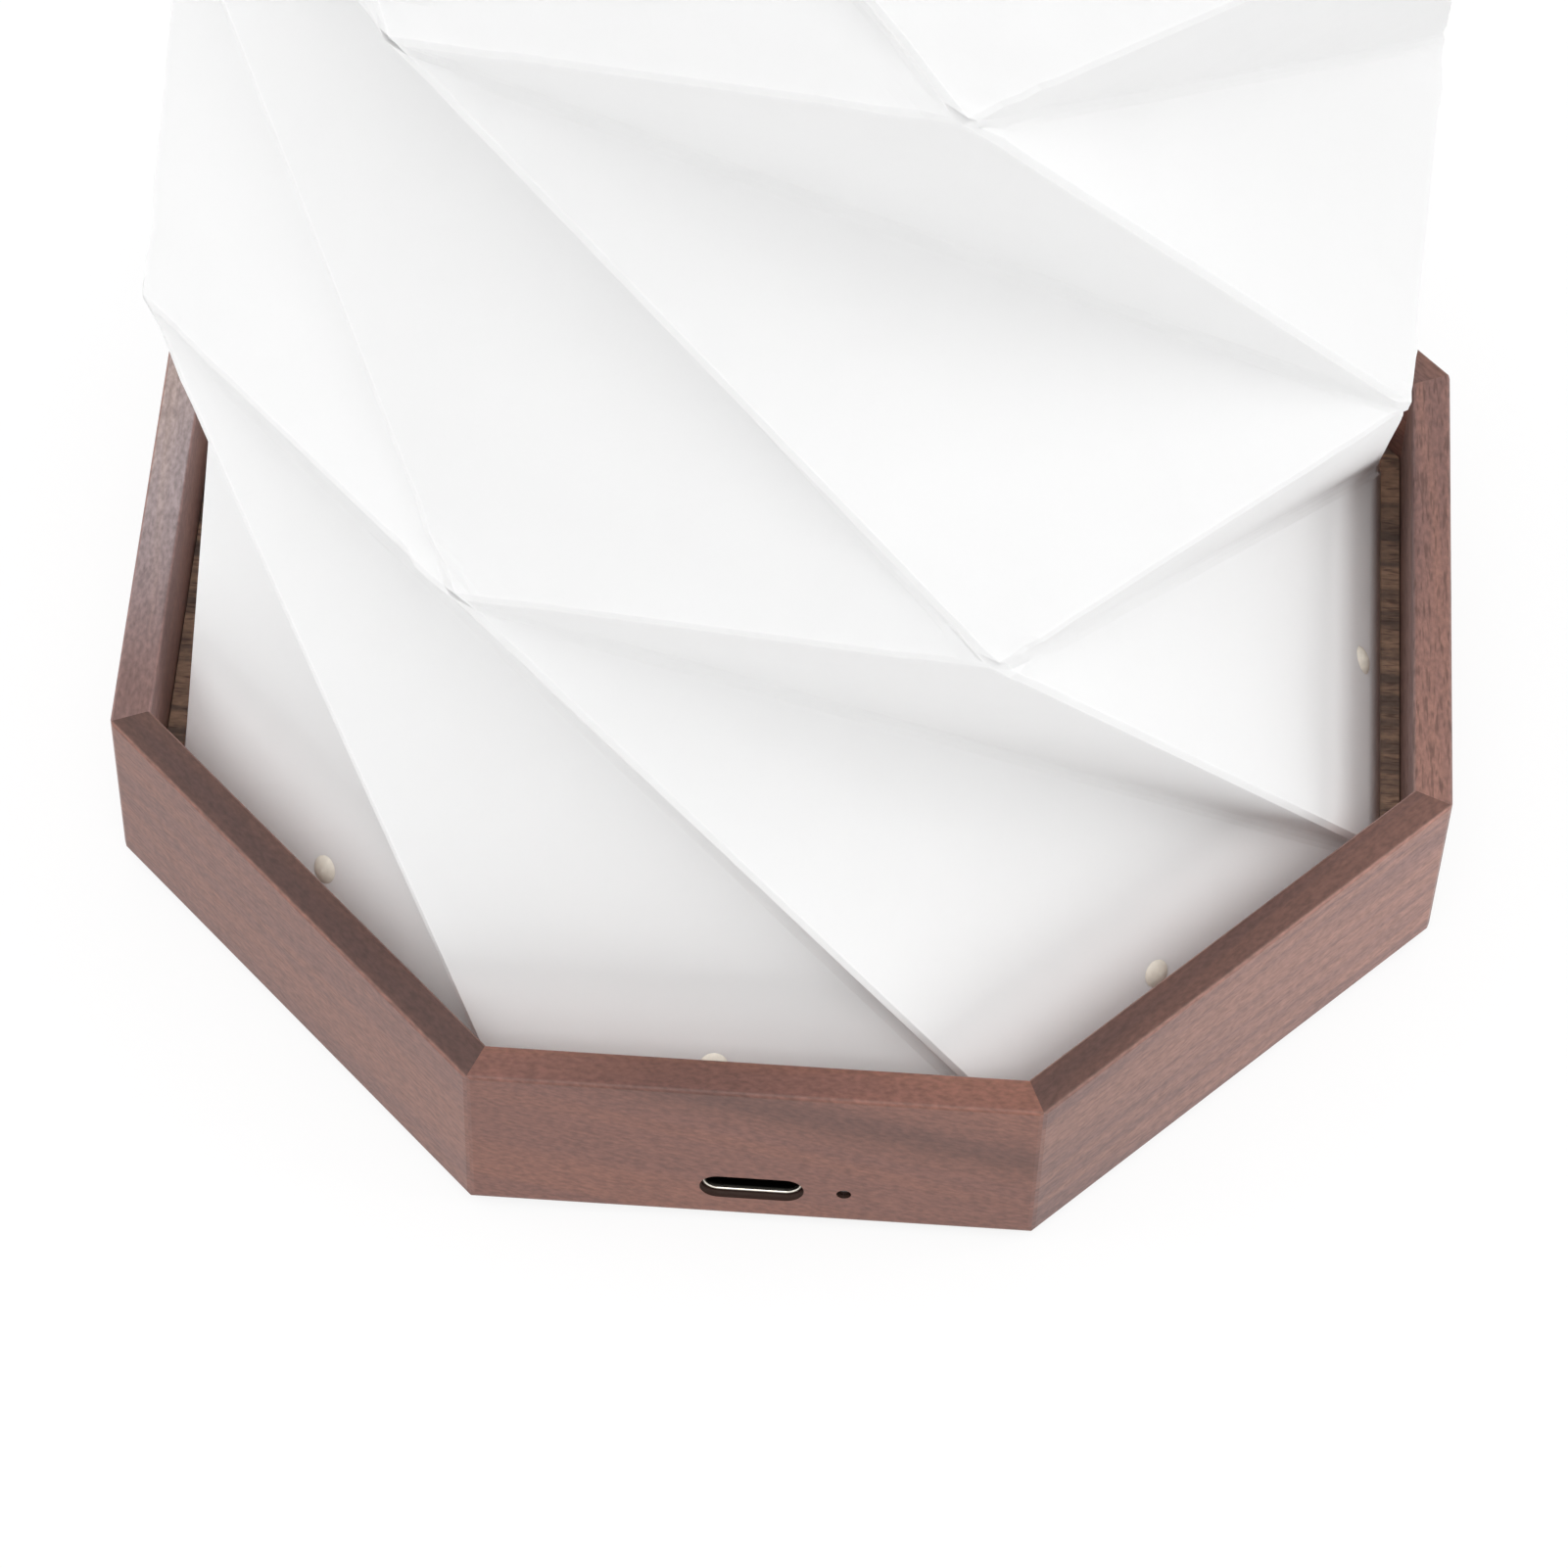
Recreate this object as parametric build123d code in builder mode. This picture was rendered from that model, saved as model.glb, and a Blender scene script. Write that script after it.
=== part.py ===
from build123d import *
import os
from itertools import accumulate
from math import atan2, cos, degrees, radians, sin, tan

# Folding bedside lamp, in millimetres, +Z up, standing on the XY plane with its port to -Y.
# A folded paper shade with eight corners joins a wooden base tray to a matching wooden lid.

# Octagon layout: every ring, tray and panel has the same count of sides
corners = 8
side_step = 360 / corners
half_step = side_step / 2
side_names = ["right", "back_right", "back", "back_left", "left", "front_left", "front", "front_right"]

# Wooden trays, measured across their flats
tray_across = 120.0
rim_width = 3.5
tray_depth = 11.0
lid_panel_thickness = 4.0
floor_thickness = 1.8
ledge_width = 4.0
bay_height = 5.6
edge_round = 1.0
rim_round = 0.4
corner_ease = 0.15

# Underside of the base
cover_thickness = 1.6
cover_border = 4.0
pad_thickness = 1.0
pad_across = 100.0

# Folded paper shade
paper_thickness = 0.3
end_tier_height = 64.2
inner_tier_height = 65.0
inner_tiers = 2
foot_spread = 2.6
end_tier_twist = 3.9
inner_tier_twist = 5.1

# Collars that hold the shade's ends, leaning like its panels, with their rivets
collar_height = 7.0
collar_wall = 1.2
flange_width = 9.0
flange_thickness = 1.0
rivet_rise = 3.7
rivet_offset = 3.9
rivet_head_radius = 1.5
rivet_head_height = 0.6
rivet_shank_radius = 0.9
rivet_tail_radius = 1.1
rivet_tail_height = 0.45

# Screws, all alike but for their length
screw_head_radius = 1.7
screw_head_height = 1.0
screw_shank_radius = 0.9
screw_tip_margin = 0.2
recess_length = 1.9
recess_width = 0.45
recess_depth = 0.5
cover_screw_grip = 4.0
cover_screws = 4
collar_screws = 4
led_screws = 3

# Charging port, to the dimensions of a standard USB-C receptacle
port_width = 8.94
port_height = 3.16
port_wall = 0.3
port_lip_round = 0.13
port_length = 7.3
port_recess = 0.65
port_skin = 2.0
tongue_width = 6.69
tongue_thickness = 0.7
tongue_length = 4.4
insulator_length = 2.0

# Charge light beside the port
pinhole_offset = 8.1
light_pipe_radius = 0.55
light_pipe_length = 1.95
indicator_width = 2.0
indicator_depth = 1.6
indicator_height = 2.4

# Charge board, hung under the floor
board_width = 26.0
board_thickness = 0.8
board_reach = 6.0
board_screw_inset = 3.0
board_screw_rows = (9.0, 40.0)
sensor_size = (3.0, 1.6, 1.1)
charger_size = (4.0, 4.0, 0.9)
charger_place = (-6.0, 35.0)
driver_size = (3.0, 3.0, 0.8)
driver_place = (5.0, 19.0)
inductor_size = (5.0, 5.0, 2.0)
inductor_place = (6.0, 29.0)
pin_radius = 0.4
pin_spacing = 4.0

# Battery cell in the bay behind the board
cell_gap = 3.0
cell_round = 2.0
tab_thickness = 0.2
tab_width = 4.0
tab_spacing = 12.0
tab_lap = 4.0

# Light source on the tray floor
led_board_radius = 22.0
led_board_thickness = 1.6
led_screw_radius = 18.0
chips = 8
chip_ring = 11.5
chip_size = (3.5, 2.8, 0.7)
diffuser_radius = 26.0
diffuser_height = 8.0
diffuser_wall = 1.2
diffuser_round = 4.0

# Magnet in the lid that the sensor feels when the lamp is shut
magnet_radius = 5.0
magnet_thickness = 2.0
magnet_ring = 30.0

# Clearances
glue_gap = 0.1
fit_gap = 0.1
paper_gap = 0.15
paper_hole_gap = 0.3
shade_gap = 0.3
board_gap = 0.3
port_gap = 0.12
insulator_gap = 0.03

# Levels of the base, from the table up
base_bottom = pad_thickness
cover_top = base_bottom + cover_thickness
floor_bottom = cover_top + bay_height
floor_top = floor_bottom + floor_thickness
base_top = floor_top + tray_depth

# Distances of the base's faces from the lamp's axis
outer_face = tray_across / 2
inner_face = outer_face - rim_width
ledge_face = inner_face - ledge_width
eased_reach = outer_face / cos(radians(half_step)) - corner_ease
cover_face = outer_face - cover_border
cover_screw_ring = (ledge_face + cover_face) / 2

# Rings of the folded shade: heights and turns about the axis, clockwise on the way up
tier_heights = [end_tier_height] + [inner_tier_height] * inner_tiers + [end_tier_height]
tier_twists = [end_tier_twist] + [inner_tier_twist] * inner_tiers + [end_tier_twist]
ring_levels = list(accumulate(tier_heights, initial=floor_top + shade_gap))
ring_turns = [-turn for turn in accumulate(tier_twists, initial=0)]
ring_radius = inner_face - shade_gap
foot_radius = ring_radius + foot_spread
ring_radii = [foot_radius] + [ring_radius] * (inner_tiers + 1) + [foot_radius]
top_turn = ring_turns[-1]

# Levels of the lid, which stands on the shade's upper end and is turned with it
ceiling = ring_levels[-1] + shade_gap
lid_bottom = ceiling - tray_depth
lid_top = ceiling + lid_panel_thickness

# Lean of the panels that stand on the trays, from their lower edge to their tip
foot_face = foot_radius * cos(radians(half_step))
tip_face = ring_radius * cos(radians(side_step + half_step + end_tier_twist))
lean = degrees(atan2(foot_face - tip_face, end_tier_height))

# Collars, just inside the paper
collar_face = foot_face + shade_gap * tan(radians(lean)) - paper_thickness - paper_gap
collar_inner = collar_face - collar_wall
flange_face = collar_face - flange_width
collar_screw_ring = (collar_inner + flange_face) / 2
collar_screw_length = flange_thickness + floor_thickness - screw_tip_margin
rivet_face = foot_face - (rivet_rise - shade_gap) * tan(radians(lean))
rivet_grip = (paper_thickness + paper_gap + collar_wall) * cos(radians(lean))

# Port and board, hung from the floor
board_bottom = floor_bottom - board_thickness
port_level = board_bottom - port_height / 2
port_back = outer_face - port_recess - port_length
pocket_front = outer_face - port_skin
pocket_width = board_width + 2 * board_gap
board_front = pocket_front - board_gap
board_length = board_front + board_reach
board_screw_spacing = board_width - 2 * board_screw_inset
board_screw_places = [
    (side * board_screw_spacing / 2, row - board_front) for row in board_screw_rows for side in (-1, 1)
]
light_pipe_back = pocket_front - board_gap
led_board_top = floor_top + led_board_thickness

# Battery bay
cell_front = board_reach + cell_gap
cell_back = ledge_face - cell_gap
cell_width = 2 * ledge_face * tan(radians(half_step)) - cell_gap
cell_top = board_bottom - tab_thickness

low = (Align.CENTER, Align.CENTER, Align.MIN)
high = (Align.CENTER, Align.CENTER, Align.MAX)

# Places of the shade's two ends: upright on the base floor, turned over under the lid's panel
base_place = Location((0, 0, floor_top))
lid_place = Location((0, 0, ceiling), (180, 0, -top_turn))

# Place of a rivet on the first side of an end, with its x running out of the leaning panel
rivet_place = Location((rivet_face, -rivet_offset, rivet_rise), (0, -lean, 0))


def direction(angle):
    """Unit vector in the floor plane at an angle from +X, in degrees."""
    return (cos(radians(angle)), sin(radians(angle)), 0)


def section_plane(angle):
    """Upright plane through the axis: its x runs outwards to one side, its y runs up."""
    return Plane(origin=(0, 0, 0), x_dir=direction(angle), z_dir=direction(angle - 90))


def octagon(face_distance, turn=0.0):
    """Octagon with a flat facing +X, turned about the axis, for the sketch under construction."""
    RegularPolygon(face_distance, corners, major_radius=False, rotation=half_step + turn)


def cut_mitres(angle):
    """Trim the rail under construction to the sector of its side and ease its two outer corners."""
    for turn in (half_step, -half_step):
        outwards = angle + turn + (90 if turn > 0 else -90)
        corner = direction(angle + turn)
        split(bisect_by=Plane(origin=(0, 0, 0), z_dir=direction(outwards)), keep=Keep.BOTTOM)
        split(bisect_by=Plane(origin=Vector(*corner) * eased_reach, z_dir=corner), keep=Keep.BOTTOM)


def screw_holes(count, ring, turn, radius):
    """Circles of a screw pattern round the axis, for the sketch under construction."""
    with PolarLocations(ring, count, start_angle=turn):
        Circle(radius)


def screw(length, head_side, shank_side):
    """Pan-head screw at the current places, with its head's seat at their level and a cross recess."""
    Cylinder(screw_head_radius, screw_head_height, align=head_side)
    Cylinder(screw_shank_radius, length, align=shank_side)
    recess_seat = screw_head_height - recess_depth
    with Locations((0, 0, recess_seat if head_side == low else -recess_seat)):
        Box(recess_length, recess_width, recess_depth, align=head_side, mode=Mode.SUBTRACT)
        Box(recess_width, recess_length, recess_depth, align=head_side, mode=Mode.SUBTRACT)


def rivet_holes(place, radius):
    """Bores for the rivets of one end of the shade through the wall under construction."""
    with Locations(place):
        with PolarLocations(0, corners):
            with Locations(rivet_place):
                Cylinder(radius, 4 * rivet_grip, rotation=(0, 90, 0), mode=Mode.SUBTRACT)


def folded_tube(inset):
    """Solid inside the folded tube of triangles between the rings, its corners moved in by an inset."""
    rings = [
        [Vector(*direction(half_step + corner * side_step + turn)) * (radius - inset) + Vector(0, 0, level)
         for corner in range(corners)]
        for radius, level, turn in zip(ring_radii, ring_levels, ring_turns)
    ]
    panels = [Face(Wire.make_polygon(rings[0])), Face(Wire.make_polygon(rings[-1]))]
    for lower, upper in zip(rings, rings[1:]):
        for corner in range(corners):
            after = (corner + 1) % corners
            second = (corner + 2) % corners
            panels.append(Face(Wire.make_polygon([upper[corner], lower[after], lower[second]])))
            panels.append(Face(Wire.make_polygon([upper[corner], lower[second], upper[after]])))
    return Solid(Shell(panels))


os.makedirs("parts", exist_ok=True)

# Base rails: mitred walnut, stepped inside for the floor, rebated below for the cover
for index, side in enumerate(side_names):
    angle = index * side_step
    with BuildPart() as base_rail:
        with BuildSketch(section_plane(angle)) as section:
            with BuildLine():
                Polyline(
                    (outer_face, base_bottom),
                    (outer_face, base_top),
                    (inner_face, base_top),
                    (inner_face, floor_bottom),
                    (ledge_face, floor_bottom),
                    (ledge_face, cover_top),
                    (cover_face, cover_top),
                    (cover_face, base_bottom),
                    close=True,
                )
            make_face()
            fillet(section.vertices().group_by(Axis.Y)[-1], rim_round)
            fillet(section.vertices().group_by(Axis.Y)[0].sort_by(Axis.X)[-1], edge_round)
        extrude(amount=outer_face, both=True)
        cut_mitres(angle)
        with BuildSketch(Plane.XY.offset(cover_top)):
            screw_holes(cover_screws, cover_screw_ring, side_step, screw_shank_radius + fit_gap)
        extrude(amount=cover_screw_grip + screw_tip_margin, mode=Mode.SUBTRACT)
        if side == "front":
            with BuildSketch(Plane.XY.offset(cover_top)):
                with Locations((0, -pocket_front)):
                    Rectangle(pocket_width, pocket_front - ledge_face, align=(Align.CENTER, Align.MIN))
            extrude(amount=bay_height, mode=Mode.SUBTRACT)
            with BuildSketch(Plane.XZ.offset(pocket_front)):
                with Locations((0, port_level)):
                    SlotOverall(port_width + 2 * port_gap, port_height + 2 * port_gap)
                with Locations((pinhole_offset, port_level)):
                    Circle(light_pipe_radius + fit_gap)
            extrude(amount=port_skin, mode=Mode.SUBTRACT)
    base_rail.part.label = f"base_rail_{side}"
    export_step(base_rail.part, f"parts/base_rail_{side}.step")

# Base floor: thin panel on the rails' ledge, bored for its screws and the two power pins
with BuildPart() as base_floor:
    with BuildSketch(Plane.XY.offset(floor_bottom)):
        octagon(inner_face - glue_gap)
    extrude(amount=floor_thickness)
    with BuildSketch(Plane.XY.offset(floor_bottom)):
        screw_holes(collar_screws, collar_screw_ring, 0, screw_shank_radius + fit_gap)
        screw_holes(led_screws, led_screw_radius, 90, screw_shank_radius + fit_gap)
        with Locations(*board_screw_places):
            Circle(screw_shank_radius + fit_gap)
        with GridLocations(pin_spacing, 0, 2, 1):
            Circle(pin_radius + fit_gap)
    extrude(amount=floor_thickness, mode=Mode.SUBTRACT)
base_floor.part.label = "base_floor"
export_step(base_floor.part, "parts/base_floor.step")

# Bottom cover: plate in the rails' rebate, counterbored for its screws
with BuildPart() as base_bottom_cover:
    with BuildSketch(Plane.XY.offset(base_bottom)):
        octagon(cover_face - glue_gap)
    extrude(amount=cover_thickness)
    with BuildSketch(Plane.XY.offset(base_bottom)):
        screw_holes(cover_screws, cover_screw_ring, side_step, screw_shank_radius + fit_gap)
    extrude(amount=cover_thickness, mode=Mode.SUBTRACT)
    with BuildSketch(Plane.XY.offset(base_bottom)):
        screw_holes(cover_screws, cover_screw_ring, side_step, screw_head_radius + fit_gap)
    extrude(amount=screw_head_height, mode=Mode.SUBTRACT)
base_bottom_cover.part.label = "base_bottom_cover"
export_step(base_bottom_cover.part, "parts/base_bottom_cover.step")

# Cover screws: up through the cover into the rails' ledge
with BuildPart() as bottom_cover_screws:
    with Locations((0, 0, base_bottom + screw_head_height)):
        with PolarLocations(cover_screw_ring, cover_screws, start_angle=side_step):
            screw(cover_thickness - screw_head_height + cover_screw_grip, high, low)
bottom_cover_screws.part.label = "bottom_cover_screws"
export_step(bottom_cover_screws.part, "parts/bottom_cover_screws.step")

# Anti-slip pad: the face that the lamp stands on
with BuildPart() as anti_slip_pad:
    with BuildSketch():
        octagon(pad_across / 2)
    extrude(amount=pad_thickness)
anti_slip_pad.part.label = "anti_slip_pad"
export_step(anti_slip_pad.part, "parts/anti_slip_pad.step")

# Charge board: under the floor, from the port to below the lamp's centre
with BuildPart() as charge_board:
    with BuildSketch(Plane.XY.offset(board_bottom)):
        with Locations((0, -board_front)):
            Rectangle(board_width, board_length, align=(Align.CENTER, Align.MIN))
        with Locations(*board_screw_places):
            Circle(screw_shank_radius + fit_gap, mode=Mode.SUBTRACT)
    extrude(amount=board_thickness)
charge_board.part.label = "charge_board"
export_step(charge_board.part, "parts/charge_board.step")

# Board screws: up through the board into the floor
with BuildPart() as charge_board_screws:
    with Locations((0, 0, board_bottom)):
        with Locations(*board_screw_places):
            screw(board_thickness + floor_thickness - screw_tip_margin, high, low)
charge_board_screws.part.label = "charge_board_screws"
export_step(charge_board_screws.part, "parts/charge_board_screws.step")

# Board components: charger, lamp driver and its inductor, soldered to the underside
with BuildPart() as charge_board_chips:
    with Locations((0, -board_front, board_bottom)):
        with Locations(charger_place):
            Box(*charger_size, align=high)
        with Locations(driver_place):
            Box(*driver_size, align=high)
        with Locations(inductor_place):
            Box(*inductor_size, align=high)
charge_board_chips.part.label = "charge_board_chips"
export_step(charge_board_chips.part, "parts/charge_board_chips.step")

# Lid sensor: below the lid's magnet when shut, where it switches the lamp off
with BuildPart() as lid_sensor:
    with Locations((0, -magnet_ring, board_bottom)):
        Box(*sensor_size, align=high)
lid_sensor.part.label = "lid_sensor"
export_step(lid_sensor.part, "parts/lid_sensor.step")

# Port shell: drawn steel sleeve through the front rail
with BuildPart() as usb_c_shell:
    with BuildSketch(Plane.XZ.offset(port_back)):
        with Locations((0, port_level)):
            SlotOverall(port_width, port_height)
            SlotOverall(port_width - 2 * port_wall, port_height - 2 * port_wall, mode=Mode.SUBTRACT)
    extrude(amount=port_length)
    fillet(usb_c_shell.edges().group_by(Axis.Y)[0], port_lip_round)
usb_c_shell.part.label = "usb_c_shell"
export_step(usb_c_shell.part, "parts/usb_c_shell.step")

# Port tongue: contact blade on the insulator that closes the shell's back
with BuildPart() as usb_c_tongue:
    with BuildSketch(Plane.XZ.offset(port_back)):
        with Locations((0, port_level)):
            SlotOverall(
                port_width - 2 * (port_wall + insulator_gap),
                port_height - 2 * (port_wall + insulator_gap),
            )
    extrude(amount=insulator_length)
    with BuildSketch(Plane.XZ.offset(port_back + insulator_length)):
        with Locations((0, port_level)):
            Rectangle(tongue_width, tongue_thickness)
    extrude(amount=tongue_length)
usb_c_tongue.part.label = "usb_c_tongue"
export_step(usb_c_tongue.part, "parts/usb_c_tongue.step")

# Charge light: a side-lit lamp on the board behind a short clear rod in the rail
with BuildPart() as charge_indicator:
    with Locations((pinhole_offset, -light_pipe_back, board_bottom)):
        Box(
            indicator_width, indicator_depth, indicator_height,
            align=(Align.CENTER, Align.MIN, Align.MAX),
        )
charge_indicator.part.label = "charge_indicator"
export_step(charge_indicator.part, "parts/charge_indicator.step")

with BuildPart() as charge_light_pipe:
    with BuildSketch(Plane.XZ.offset(light_pipe_back)):
        with Locations((pinhole_offset, port_level)):
            Circle(light_pipe_radius)
    extrude(amount=light_pipe_length)
charge_light_pipe.part.label = "charge_light_pipe"
export_step(charge_light_pipe.part, "parts/charge_light_pipe.step")

# Battery cell: flat pouch on the bottom cover, with two tabs soldered under the board
with BuildPart() as battery_cell:
    with BuildSketch(Plane.XY.offset(cover_top)):
        with Locations((0, cell_front)):
            Rectangle(cell_width, cell_back - cell_front, align=(Align.CENTER, Align.MIN))
    extrude(amount=cell_top - cover_top)
    fillet(battery_cell.edges().filter_by(Axis.Z), cell_round)
battery_cell.part.label = "battery_cell"
export_step(battery_cell.part, "parts/battery_cell.step")

with BuildPart() as battery_tabs:
    with BuildSketch(Plane.XY.offset(cell_top)):
        with Locations((0, (board_reach + cell_front) / 2)):
            with GridLocations(tab_spacing, 0, 2, 1):
                Rectangle(tab_width, cell_gap + 2 * tab_lap)
    extrude(amount=tab_thickness)
battery_tabs.part.label = "battery_tabs"
export_step(battery_tabs.part, "parts/battery_tabs.step")

# Power pins: from the charge board through the floor to the light board
with BuildPart() as led_power_pins:
    with BuildSketch(Plane.XY.offset(floor_bottom)):
        with GridLocations(pin_spacing, 0, 2, 1):
            Circle(pin_radius)
    extrude(amount=floor_thickness)
led_power_pins.part.label = "led_power_pins"
export_step(led_power_pins.part, "parts/led_power_pins.step")

# Light board with its chips, screwed to the floor under a frosted cap
with BuildPart() as led_board:
    with BuildSketch(Plane.XY.offset(floor_top)):
        Circle(led_board_radius)
    extrude(amount=led_board_thickness)
    with BuildSketch(Plane.XY.offset(floor_top)):
        screw_holes(led_screws, led_screw_radius, 90, screw_shank_radius + fit_gap)
    extrude(amount=led_board_thickness, mode=Mode.SUBTRACT)
led_board.part.label = "led_board"
export_step(led_board.part, "parts/led_board.step")

with BuildPart() as led_chips:
    with Locations((0, 0, led_board_top)):
        with PolarLocations(chip_ring, chips):
            Box(*chip_size, align=low)
led_chips.part.label = "led_chips"
export_step(led_chips.part, "parts/led_chips.step")

with BuildPart() as led_board_screws:
    with Locations((0, 0, led_board_top)):
        with PolarLocations(led_screw_radius, led_screws, start_angle=90):
            screw(led_board_thickness + floor_thickness - screw_tip_margin, low, high)
led_board_screws.part.label = "led_board_screws"
export_step(led_board_screws.part, "parts/led_board_screws.step")

with BuildPart() as led_diffuser:
    with Locations((0, 0, floor_top)):
        Cylinder(diffuser_radius, diffuser_height, align=low)
    fillet(led_diffuser.faces().sort_by(Axis.Z)[-1].edges(), diffuser_round)
    offset(amount=-diffuser_wall, openings=led_diffuser.faces().sort_by(Axis.Z)[0])
led_diffuser.part.label = "led_diffuser"
export_step(led_diffuser.part, "parts/led_diffuser.step")

# Collars: octagonal angle rings with leaning walls, one on the base floor and one under the lid's panel
with BuildPart() as collar:
    with BuildSketch():
        octagon(collar_face)
    extrude(amount=collar_height, taper=lean)
    with BuildSketch():
        octagon(flange_face)
    extrude(amount=flange_thickness, mode=Mode.SUBTRACT)
    with BuildSketch(Plane.XY.offset(flange_thickness)):
        octagon(collar_inner - flange_thickness * tan(radians(lean)))
    extrude(amount=collar_height - flange_thickness, taper=lean, mode=Mode.SUBTRACT)
    with BuildSketch():
        screw_holes(collar_screws, collar_screw_ring, 0, screw_shank_radius + fit_gap)
    extrude(amount=flange_thickness, mode=Mode.SUBTRACT)
    rivet_holes(Location(), rivet_shank_radius + fit_gap)

with BuildPart() as base_shade_ring:
    with Locations(base_place):
        add(collar.part)
base_shade_ring.part.label = "base_shade_ring"
export_step(base_shade_ring.part, "parts/base_shade_ring.step")

with BuildPart() as lid_shade_ring:
    with Locations(lid_place):
        add(collar.part)
lid_shade_ring.part.label = "lid_shade_ring"
export_step(lid_shade_ring.part, "parts/lid_shade_ring.step")

# Collar screws: down into the floor, up into the lid's panel
with BuildPart() as base_shade_ring_screws:
    with Locations((0, 0, floor_top + flange_thickness)):
        with PolarLocations(collar_screw_ring, collar_screws):
            screw(collar_screw_length, low, high)
base_shade_ring_screws.part.label = "base_shade_ring_screws"
export_step(base_shade_ring_screws.part, "parts/base_shade_ring_screws.step")

with BuildPart() as lid_shade_ring_screws:
    with Locations((0, 0, ceiling - flange_thickness)):
        with PolarLocations(collar_screw_ring, collar_screws, start_angle=top_turn):
            screw(collar_screw_length, high, low)
lid_shade_ring_screws.part.label = "lid_shade_ring_screws"
export_step(lid_shade_ring_screws.part, "parts/lid_shade_ring_screws.step")

# Rivets: one per side, through paper and collar, domed outside and spread inside
dome_radius = (rivet_head_radius**2 + rivet_head_height**2) / (2 * rivet_head_height)
with BuildPart() as rivet:
    with BuildSketch(Plane.XZ):
        with BuildLine():
            Polyline(
                (paper_gap + rivet_head_height, 0),
                (-rivet_grip - rivet_tail_height, 0),
                (-rivet_grip - rivet_tail_height, rivet_tail_radius),
                (-rivet_grip, rivet_tail_radius),
                (-rivet_grip, rivet_shank_radius),
                (paper_gap, rivet_shank_radius),
                (paper_gap, rivet_head_radius),
            )
            RadiusArc((paper_gap, rivet_head_radius), (paper_gap + rivet_head_height, 0), dome_radius)
        make_face()
    revolve(axis=Axis.X)

with BuildPart() as base_rivets:
    with Locations(base_place):
        with PolarLocations(0, corners):
            with Locations(rivet_place):
                add(rivet.part)
base_rivets.part.label = "base_rivets"
export_step(base_rivets.part, "parts/base_rivets.step")

with BuildPart() as lid_rivets:
    with Locations(lid_place):
        with PolarLocations(0, corners):
            with Locations(rivet_place):
                add(rivet.part)
lid_rivets.part.label = "lid_rivets"
export_step(lid_rivets.part, "parts/lid_rivets.step")

# Paper shade: one folded sheet, open at both ends, riveted through the panels that stand on the trays
with BuildPart() as paper_shade:
    add(folded_tube(0))
    add(folded_tube(paper_thickness / cos(radians(half_step))), mode=Mode.SUBTRACT)
    rivet_holes(base_place, rivet_shank_radius + paper_hole_gap)
    rivet_holes(lid_place, rivet_shank_radius + paper_hole_gap)
paper_shade.part.label = "paper_shade"
export_step(paper_shade.part, "parts/paper_shade.step")

# Lid rails: mitred like the base's, with the rounded edge on top
for index, side in enumerate(side_names):
    angle = index * side_step + top_turn
    with BuildPart() as lid_rail:
        with BuildSketch(section_plane(angle)) as section:
            with Locations((inner_face, lid_bottom)):
                Rectangle(rim_width, lid_top - lid_bottom, align=(Align.MIN, Align.MIN))
            fillet(section.vertices().group_by(Axis.Y)[0], rim_round)
            fillet(section.vertices().group_by(Axis.Y)[-1].sort_by(Axis.X)[-1], edge_round)
        extrude(amount=outer_face, both=True)
        cut_mitres(angle)
    lid_rail.part.label = f"lid_rail_{side}"
    export_step(lid_rail.part, f"parts/lid_rail_{side}.step")

# Lid panel: fills the frame of rails flush with their tops, pocketed for the magnet
with BuildPart() as lid_panel:
    with BuildSketch(Plane.XY.offset(ceiling)):
        octagon(inner_face - glue_gap, top_turn)
    extrude(amount=lid_panel_thickness)
    with BuildSketch(Plane.XY.offset(ceiling)):
        screw_holes(collar_screws, collar_screw_ring, top_turn, screw_shank_radius + fit_gap)
    extrude(amount=floor_thickness, mode=Mode.SUBTRACT)
    with BuildSketch(Plane.XY.offset(ceiling)):
        with PolarLocations(magnet_ring, 1, start_angle=90 + top_turn):
            Circle(magnet_radius + fit_gap)
    extrude(amount=magnet_thickness, mode=Mode.SUBTRACT)
lid_panel.part.label = "lid_panel"
export_step(lid_panel.part, "parts/lid_panel.step")

with BuildPart() as trigger_magnet:
    with BuildSketch(Plane.XY.offset(ceiling)):
        with PolarLocations(magnet_ring, 1, start_angle=90 + top_turn):
            Circle(magnet_radius)
    extrude(amount=magnet_thickness)
trigger_magnet.part.label = "trigger_magnet"
export_step(trigger_magnet.part, "parts/trigger_magnet.step")
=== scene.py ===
"""Dresses the folding bedside lamp: its paper shade, walnut trays, port and fixings, and a white stage."""

import math
from typing import NamedTuple

import bpy
import numpy as np
from bpy.props import FloatProperty, FloatVectorProperty, IntProperty, PointerProperty
from mathutils import Matrix, Vector


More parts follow.
